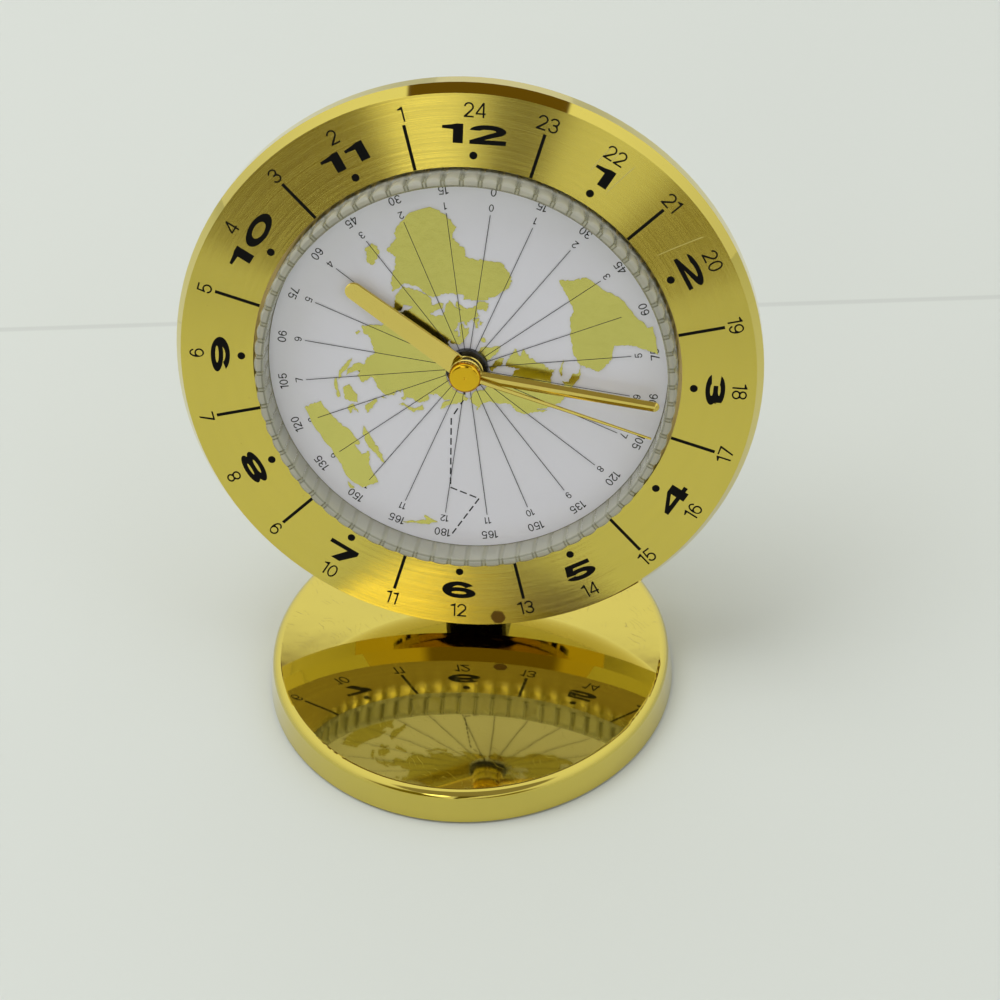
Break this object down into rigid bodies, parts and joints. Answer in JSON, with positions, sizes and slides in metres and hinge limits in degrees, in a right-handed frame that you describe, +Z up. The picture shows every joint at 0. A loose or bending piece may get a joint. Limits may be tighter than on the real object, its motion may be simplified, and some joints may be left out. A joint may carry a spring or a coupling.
{
  "type": "world time clock",
  "caption": "Desk clock with an hour ring round a turning map dish that shows world time, leaning back on a short post over a round base.",
  "frame": {"origin": "centre of the base's foot face, on the surface that the clock stands on", "axes": "+Z up, the clock faces -Y and leans back by 16 degrees, +X to the right as seen from the front"},
  "size_m": [0.0908, 0.0712, 0.0957],
  "materials": {
    "base_gold": "polished mirror, gold plated",
    "ring_gold": "brushed face with a polished bevel, gold plated and lacquered",
    "housing_gold": "polished, gold plated",
    "hand_gold": "polished",
    "plate_brass": "plain",
    "wheel_brass": "plain",
    "ballast_steel": "zinc coated",
    "screw_steel": "zinc coated",
    "rotor_steel": "plain",
    "contact_steel": "nickel plated",
    "cell_steel": "plain",
    "felt": "felt",
    "neck_black": "semi-gloss",
    "nut_black": "gloss",
    "clear_plastic": "clear acrylic, polished",
    "map_print": "gloss print with gold foil",
    "case_plastic": "moulded",
    "wheel_plastic": "moulded",
    "knob_black": "moulded",
    "cover_black": "moulded, fine grain",
    "coil_copper": "enamelled wire",
    "board_green": "solder mask"
  },
  "bodies": {
    "stand": {"base_disc": "base_gold", "ballast_disc": "ballast_steel", "foot_pad": "felt", "base_screws": "screw_steel", "neck_post": "neck_black", "neck_screws": "screw_steel", "bezel_ring": "ring_gold", "rear_housing": "housing_gold", "flange_screws": "screw_steel", "carrier_plate": "plate_brass", "clamp_nut": "plate_brass", "friction_washer": "felt", "hub_nut": "nut_black", "movement_front": "case_plastic", "middle_plate": "case_plastic", "movement_rear": "case_plastic", "movement_screws": "screw_steel", "stator": "rotor_steel", "coil": "coil_copper", "circuit_board": "board_green", "quartz_crystal": "screw_steel", "battery": "cell_steel", "contact_minus": "contact_steel", "contact_plus": "contact_steel", "back_cover": "cover_black", "cover_screws": "screw_steel"},
    "map_dial": {"map_dish": "clear_plastic", "map_disc": "map_print"},
    "minute_arm": {"minute_hand": "hand_gold", "cannon_pinion": "wheel_brass"},
    "hour_arm": {"hour_hand": "hand_gold", "hour_wheel": "wheel_plastic"},
    "minute_gear": {"minute_wheel": "wheel_plastic"},
    "setting_knob": {"setting_shaft": "screw_steel", "set_knob": "knob_black"},
    "second_arm": {"second_hand": "hand_gold", "hand_cap": "hand_gold", "second_wheel": "wheel_brass"},
    "third_gear": {"third_wheel": "wheel_brass"},
    "centre_gear": {"centre_wheel": "wheel_brass"},
    "fifth_gear": {"fifth_wheel": "wheel_plastic"},
    "rotor_gear": {"rotor": "rotor_steel"},
    "door": {"battery_door": "cover_black"}
  },
  "joints": [
    {"name": "map_dial_turn", "type": "hinge", "parent": "stand", "child": "map_dial", "pos_m": [0, 0.0126, 0.0527], "axis": [0, -0.9613, 0.2756], "continuous": true},
    {"name": "minute_hand_spin", "type": "hinge", "parent": "stand", "child": "minute_arm", "pos_m": [0, 0.0126, 0.0527], "axis": [0, -0.9613, 0.2756], "continuous": true},
    {"name": "hour_hand_spin", "type": "hinge", "parent": "stand", "child": "hour_arm", "pos_m": [0, 0.0126, 0.0527], "axis": [0, -0.9613, 0.2756], "continuous": true},
    {"name": "minute_wheel_spin", "type": "hinge", "parent": "stand", "child": "minute_gear", "pos_m": [-0.0072, 0.0126, 0.0527], "axis": [0, -0.9613, 0.2756], "continuous": true},
    {"name": "set_knob_turn", "type": "hinge", "parent": "stand", "child": "setting_knob", "pos_m": [-0.01344, 0.01359, 0.05616], "axis": [0, -0.9613, 0.2756], "continuous": true},
    {"name": "second_hand_spin", "type": "hinge", "parent": "stand", "child": "second_arm", "pos_m": [0, 0.0126, 0.0527], "axis": [0, -0.9613, 0.2756], "continuous": true},
    {"name": "third_wheel_spin", "type": "hinge", "parent": "stand", "child": "third_gear", "pos_m": [0.00496, 0.01455, 0.0595], "axis": [0, -0.9613, 0.2756], "continuous": true},
    {"name": "centre_wheel_spin", "type": "hinge", "parent": "stand", "child": "centre_gear", "pos_m": [0, 0.0126, 0.0527], "axis": [0, -0.9613, 0.2756], "continuous": true},
    {"name": "fifth_wheel_spin", "type": "hinge", "parent": "stand", "child": "fifth_gear", "pos_m": [-0.00564, 0.01317, 0.05467], "axis": [0, -0.9613, 0.2756], "continuous": true},
    {"name": "rotor_spin", "type": "hinge", "parent": "stand", "child": "rotor_gear", "pos_m": [-0.00449, 0.01496, 0.06092], "axis": [0, -0.9613, 0.2756], "continuous": true},
    {"name": "battery_door_lift", "type": "slide", "parent": "stand", "child": "door", "axis": [0, 0.9613, -0.2756], "range_m": [0, 0.008]}
  ],
  "couplings": [
    {"joint": "hour_hand_spin", "follows": "minute_hand_spin", "ratio": 0.083333},
    {"joint": "minute_wheel_spin", "follows": "minute_hand_spin", "ratio": -0.33333},
    {"joint": "set_knob_turn", "follows": "minute_hand_spin", "ratio": 1},
    {"joint": "third_wheel_spin", "follows": "second_hand_spin", "ratio": -0.125},
    {"joint": "centre_wheel_spin", "follows": "second_hand_spin", "ratio": 0.016667},
    {"joint": "fifth_wheel_spin", "follows": "second_hand_spin", "ratio": -3},
    {"joint": "rotor_spin", "follows": "second_hand_spin", "ratio": 30}
  ]
}
